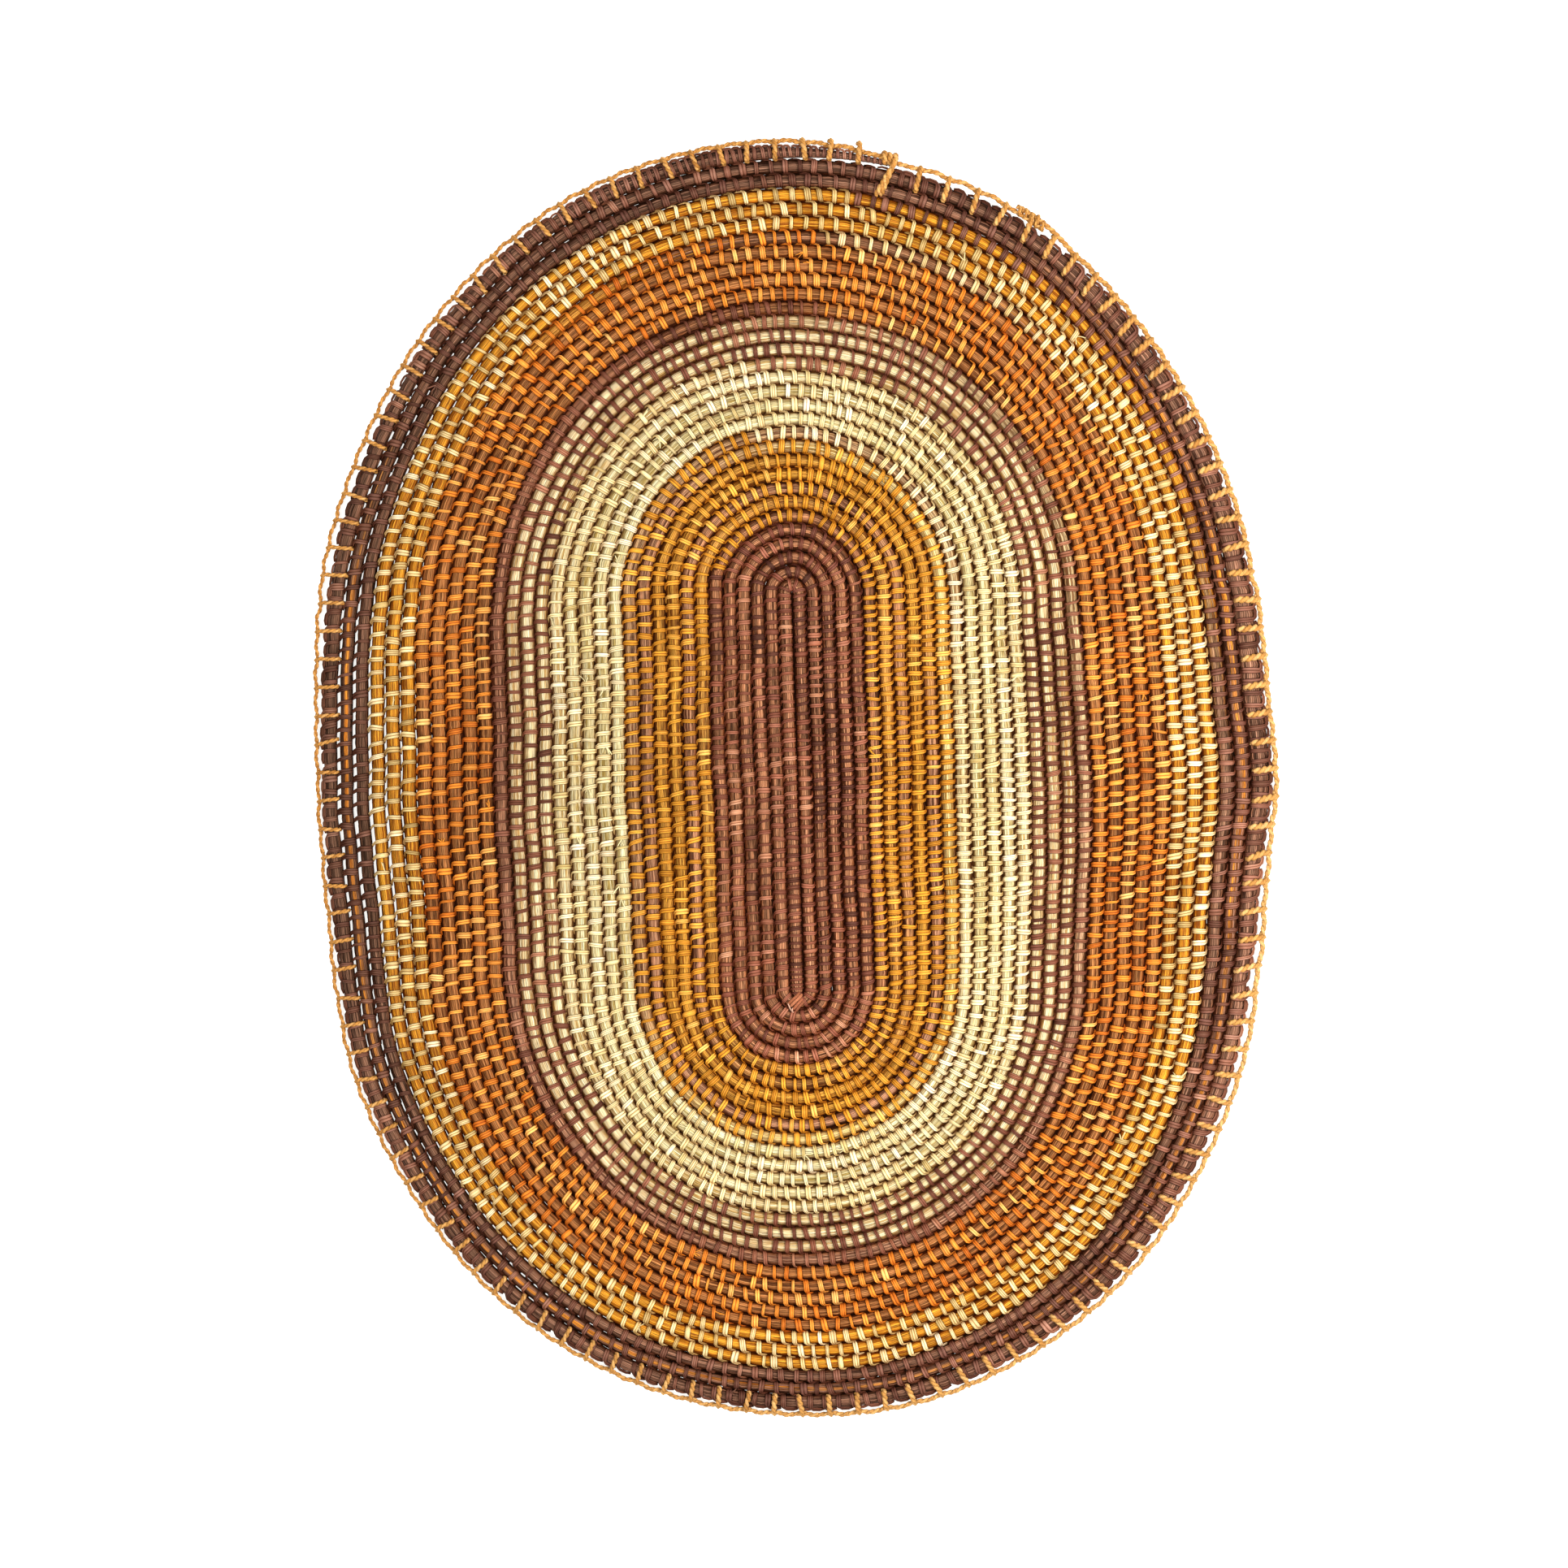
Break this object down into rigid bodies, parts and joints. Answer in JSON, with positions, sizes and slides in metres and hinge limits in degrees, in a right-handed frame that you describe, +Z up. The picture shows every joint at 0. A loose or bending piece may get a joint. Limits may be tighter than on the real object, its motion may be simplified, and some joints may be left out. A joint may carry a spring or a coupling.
{
  "type": "oval coiled mat",
  "caption": "Oval mat of coiled and lashed plant fibre in concentric bands of brown, gold, cream, mauve and orange, with a twisted string worked round its edge.",
  "frame": {"origin": "middle of the mat's outline, on the surface that it lies on", "axes": "+Y along the mat's length, towards the end where the edge string is knotted; +X to the right seen from above; +Z up"},
  "size_m": [0.679, 0.8976, 0.0126],
  "materials": {
    "fibre_brown": "dry dyed leaf fibre, matt with a faint sheen",
    "fibre_gold": "dry dyed leaf fibre, matt with a faint sheen",
    "fibre_cream": "dry dyed leaf fibre, matt with a faint sheen",
    "fibre_mauve": "dry dyed leaf fibre, matt with a faint sheen",
    "fibre_orange": "dry dyed leaf fibre, matt with a faint sheen",
    "fibre_yellow": "dry dyed leaf fibre, matt with a faint sheen",
    "fibre_dark": "dry dyed leaf fibre, matt with a faint sheen",
    "edge_string": "hand-rolled two-ply plant fibre string, matt"
  },
  "bodies": {
    "root": {"coil_brown_start": "fibre_brown", "coil_gold": "fibre_gold", "coil_cream": "fibre_cream", "coil_mauve": "fibre_mauve", "coil_orange": "fibre_orange", "coil_yellow": "fibre_yellow", "coil_dark_rim": "fibre_dark", "edge_string_long": "edge_string", "edge_string_short": "edge_string", "edge_knot": "edge_string"}
  },
  "joints": []
}
